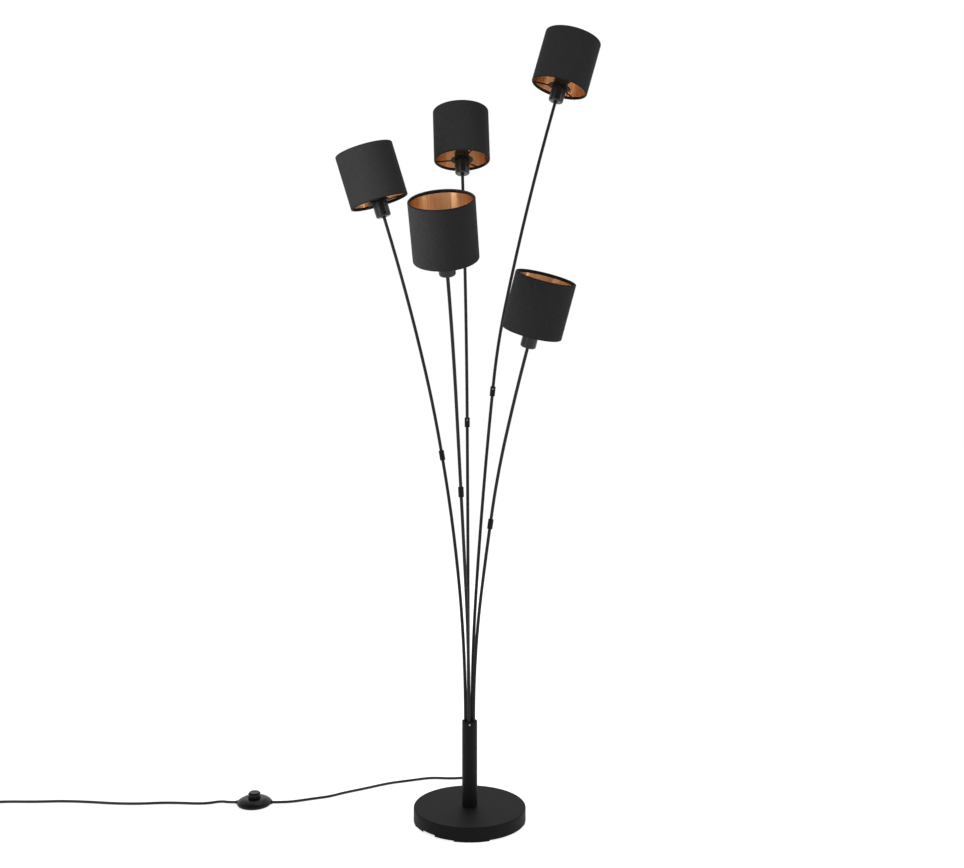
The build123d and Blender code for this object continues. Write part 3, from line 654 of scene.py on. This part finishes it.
def centre_contact():
    """The sprung contact in the bore's floor: a brass button on a riveted leaf."""
    leaf_top = CONTACT_LOW + LEAF
    rounding = (BUTTON_R - BUTTON_ROUND, CONTACT_LOW + 2 * MM)
    outline = [
        (AXIS_R, CONTACT_LOW),
        (LEAF_R, CONTACT_LOW),
        (LEAF_EDGE_R, CONTACT_LOW + LEAF / 2),
        (LEAF_R, leaf_top),
        (BUTTON_R + 0.5 * MM, leaf_top),
        (BUTTON_R + 0.1 * MM, leaf_top + 0.4 * MM),
    ]
    outline += arc(rounding, BUTTON_ROUND, 0, 90, BUTTON_POINTS)
    outline.append((AXIS_R, CONTACT_LOW + BUTTON_HIGH))
    contact = lathe("centre_contact", outline, BRASS, CONTACT_STEPS)
    smooth(contact, 40)
    return contact


def make_contacts():
    shell, contact = thread_shell(), centre_contact()
    for arm in ARMS:
        matrix = socket_frame(arm)
        for piece, name in ((shell, f"{arm}_thread_shell"), (contact, f"{arm}_centre_contact")):
            fitted = placed(piece, matrix, name)
            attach(fitted, f"{arm}_arm")
    discard(shell, contact)


# ---------------------------------------------------------------- cord

LEAD_POINTS = (
    (0.0120, 0.1270, 0.0094),
    (0.0120, 0.1480, 0.0089),
    (0.0124, 0.1690, 0.0034),
    (0.0128, 0.1952, FLOOR_Z),
    (-0.0085, 0.2125, FLOOR_Z),
    (-0.0360, 0.2070, FLOOR_Z),
    (-0.0760, 0.2115, FLOOR_Z),
    (-0.0980, 0.2055, FLOOR_Z),
    (-0.1250, 0.1950, FLOOR_Z),
    (-0.1670, 0.1800, FLOOR_Z),
    (-0.2110, 0.1510, FLOOR_Z),
    (-0.2500, 0.1290, FLOOR_Z),
    (-0.2770, 0.1080, FLOOR_Z),
    (-0.3040, 0.0985, FLOOR_Z),
    (-0.3310, 0.0865, FLOOR_Z + 0.3 * MM),
    (-0.3560, SWITCH_Y, SWITCH_CORD_Z),
    (SWITCH_X + SWITCH_HALF, SWITCH_Y, SWITCH_CORD_Z),
)
TAIL_POINTS = (
    (SWITCH_X - SWITCH_HALF, SWITCH_Y, SWITCH_CORD_Z),
    (-0.4690, SWITCH_Y, SWITCH_CORD_Z),
    (-0.4850, 0.0785, 0.0044),
    (-0.5080, 0.0730, FLOOR_Z),
    (-0.5320, 0.0715, FLOOR_Z),
    (-0.5650, 0.0750, FLOOR_Z),
    (-0.6000, 0.0758, FLOOR_Z),
    (-0.6410, 0.0705, FLOOR_Z),
    (-0.6900, 0.0720, FLOOR_Z),
    (-0.7420, 0.0800, FLOOR_Z),
    (-0.7950, 0.0845, FLOOR_Z),
    (-0.8480, 0.0805, FLOOR_Z),
    (-0.9000, 0.0820, FLOOR_Z),
    (-0.9350, COIL_Y + COIL_R, FLOOR_Z),
)


def coil_points():
    """The coil: half turns that spiral in on the floor, climb in one, and spiral out on top, to the plug."""
    points = []
    y, z, way = COIL_Y + COIL_R, FLOOR_Z, -1
    for half in range(2 * COIL_HALF_TURNS):
        steps_in = half if half <= COIL_HALF_TURNS else 2 * COIL_HALF_TURNS - half
        radius = COIL_R - steps_in * COIL_PITCH / 2
        climb = COIL_PITCH if half == COIL_HALF_TURNS else 0
        for step in range(COIL_STEPS):
            turn = pi * step / COIL_STEPS
            x = COIL_X + way * radius * sin(turn)
            points.append((x, y + way * radius * (1 - cos(turn)), z + climb * (1 - cos(turn)) / 2))
        y, z, way = y + 2 * way * radius, z + climb, -way
    for step in range(COIL_STEPS // 2):
        turn = pi * step / COIL_STEPS
        points.append((COIL_X - COIL_R * sin(turn), y - COIL_R * (1 - cos(turn)), z))
    side, low = COIL_X - COIL_R, COIL_Y - COIL_DROP
    points.append((side, COIL_Y - 1 * MM, z))
    points.append((side + 0.3 * COIL_DROP_OUT, COIL_Y - 0.4 * COIL_DROP, z - 0.6 * MM))
    points.append((side + 0.8 * COIL_DROP_OUT, COIL_Y - 0.7 * COIL_DROP, PLUG_Z + 0.3 * MM))
    points.append((side + COIL_DROP_OUT, low, PLUG_Z))
    points.append((side + COIL_DROP_OUT, low - 5 * MM, PLUG_Z))
    return points


def flex(name, points):
    """A round cord along one smooth spline."""
    curve = bpy.data.curves.new(name, "CURVE")
    curve.dimensions = "3D"
    curve.bevel_depth = CORD_R
    curve.bevel_resolution = 5
    curve.use_fill_caps = True
    curve.resolution_u = 8
    spline = curve.splines.new("NURBS")
    spline.points.add(len(points) - 1)
    for point, at in zip(spline.points, points):
        point.co = (*at, 1)
    spline.order_u = 3
    spline.use_endpoint_u = True
    cord = bpy.data.objects.new(name, curve)
    bpy.context.collection.objects.link(cord)
    curve.materials.append(SHEATH)
    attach(cord, "stand")
    return cord


def make_cord():
    lead = flex("lead_flex", LEAD_POINTS)
    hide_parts("cord_lead")
    tail = flex("tail_flex", list(TAIL_POINTS) + coil_points())
    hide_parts("cord_tail", "cord_coil")


# ---------------------------------------------------------------- studio


def highest(tree, *sockets):
    """The greatest of some values."""
    most = sockets[0]
    for socket in sockets[1:]:
        node = tree.nodes.new("ShaderNodeMath")
        node.operation = "MAXIMUM"
        tree.links.new(most, node.inputs[0])
        tree.links.new(socket, node.inputs[1])
        most = node.outputs[0]
    return most


def seen_or_mirrored(tree):
    """1 for a ray from the camera, off a mirror or through glass, and 0 for one that lights."""
    path = tree.nodes.new("ShaderNodeLightPath").outputs
    return highest(tree, path["Is Camera Ray"], path["Is Glossy Ray"], path["Is Transmission Ray"])


def whitened(tree, level, mirrored):
    """A strength: 1 for what is seen, another one for what is mirrored, and the level for what lights."""
    path = tree.nodes.new("ShaderNodeLightPath").outputs
    reflected = tree.nodes.new("ShaderNodeMix")
    tree.links.new(highest(tree, path["Is Glossy Ray"], path["Is Transmission Ray"]), reflected.inputs[0])
    reflected.inputs[2].default_value = level
    tree.links.new(mirrored, reflected.inputs[3])
    strength = tree.nodes.new("ShaderNodeMix")
    tree.links.new(path["Is Camera Ray"], strength.inputs[0])
    tree.links.new(reflected.outputs[0], strength.inputs[2])
    strength.inputs[3].default_value = 1
    return strength.outputs[0]


def make_world():
    """White all round where it is seen. Mirrored, it is white beyond the lamp and dim on its near side."""
    world = bpy.data.worlds.new("studio")
    world.use_nodes = True
    bpy.context.scene.world = world
    tree = world.node_tree
    way = tree.nodes.new("ShaderNodeTexCoord")
    parts = tree.nodes.new("ShaderNodeSeparateXYZ")
    tree.links.new(way.outputs["Generated"], parts.inputs[0])
    room = tree.nodes.new("ShaderNodeMapRange")
    tree.links.new(parts.outputs[1], room.inputs["Value"])
    for key, value in {"From Min": -0.25, "From Max": 0.35, "To Min": ROOM_LEVEL, "To Max": 1}.items():
        room.inputs[key].default_value = value
    background = tree.nodes["Background"]
    background.inputs["Color"].default_value = (1, 1, 1, 1)
    tree.links.new(whitened(tree, WORLD_LEVEL, room.outputs[0]), background.inputs["Strength"])


def make_floor():
    deselect()
    bpy.ops.mesh.primitive_plane_add(size=FLOOR_SIZE)
    floor = bpy.context.object
    floor.name = "studio_floor"
    material = bpy.data.materials.new("studio_floor")
    material.use_nodes = True
    tree = material.node_tree
    paper = tree.nodes["Principled BSDF"]
    paper.inputs["Base Color"].default_value = (0.82, 0.82, 0.82, 1)
    paper.inputs["Roughness"].default_value = 0.9
    paper.inputs["Specular IOR Level"].default_value = 0.1
    glow = tree.nodes.new("ShaderNodeEmission")
    glow.inputs["Strength"].default_value = FLOOR_GLOW
    both = tree.nodes.new("ShaderNodeAddShader")
    mix = tree.nodes.new("ShaderNodeMixShader")
    tree.links.new(seen_or_mirrored(tree), mix.inputs[0])
    tree.links.new(paper.outputs[0], both.inputs[0])
    tree.links.new(glow.outputs[0], both.inputs[1])
    tree.links.new(paper.outputs[0], mix.inputs[1])
    tree.links.new(both.outputs[0], mix.inputs[2])
    tree.links.new(mix.outputs[0], tree.nodes["Material Output"].inputs["Surface"])
    dress(floor, material)


def softbox(name, at, aim, size, power, unseen=""):
    """A rectangular lamp. unseen names the kinds of ray that pass it by: c camera, d diffuse, g glossy."""
    light = bpy.data.lights.new(name, "AREA")
    light.shape = "RECTANGLE"
    light.size, light.size_y = size
    light.energy = power
    box = bpy.data.objects.new(name, light)
    bpy.context.collection.objects.link(box)
    box.location = at
    box.rotation_euler = (Vector(aim) - Vector(at)).to_track_quat("-Z", "Y").to_euler()
    box.visible_camera = "c" not in unseen
    box.visible_diffuse = "d" not in unseen
    box.visible_glossy = "g" not in unseen


def make_lights():
    near_arm, lower, upper = (-0.1, -0.12, 1.15), (0, 0, 0.8), (0, 0, 1.0)
    softbox("near_key", at=(-0.45, -0.44, 1.12), aim=near_arm, size=(0.3, 0.6), power=2.9, unseen="cg")
    softbox("broad_key", at=(-1.0, -1.9, 1.2), aim=lower, size=(1.5, 2.0), power=3.5, unseen="g")
    softbox("left_strip", at=(-1.58, -1.53, 1.5), aim=upper, size=(0.5, 2.2), power=15, unseen="cd")
    softbox("right_strip", at=(2.04, -0.82, 1.5), aim=upper, size=(0.42, 2.2), power=13, unseen="cd")
    softbox("fill_right", at=(2.2, -0.95, 1.2), aim=(0, 0, 0.9), size=(1.7, 2.1), power=12, unseen="g")
    softbox("top", at=(0.2, 0.8, 3.0), aim=(0, 0, 0.6), size=(1.4, 1.4), power=6)
    softbox("back_fill", at=(0.7, 2.3, 1.3), aim=lower, size=(2.0, 2.0), power=16, unseen="cg")


def make_camera():
    data = bpy.data.cameras.new("camera")
    data.sensor_width = SENSOR_WIDE
    data.lens = LENS
    data.shift_x, data.shift_y = CAMERA_SHIFT
    camera = bpy.data.objects.new("camera", data)
    bpy.context.collection.objects.link(camera)
    camera.location = CAMERA_AT
    camera.rotation_euler = (pi / 2, 0, 0)
    bpy.context.scene.camera = camera


make_camera()
make_world()
make_floor()
make_lights()
make_cord()
make_shades()
make_contacts()

bpy.context.scene.view_settings.view_transform = "Standard"
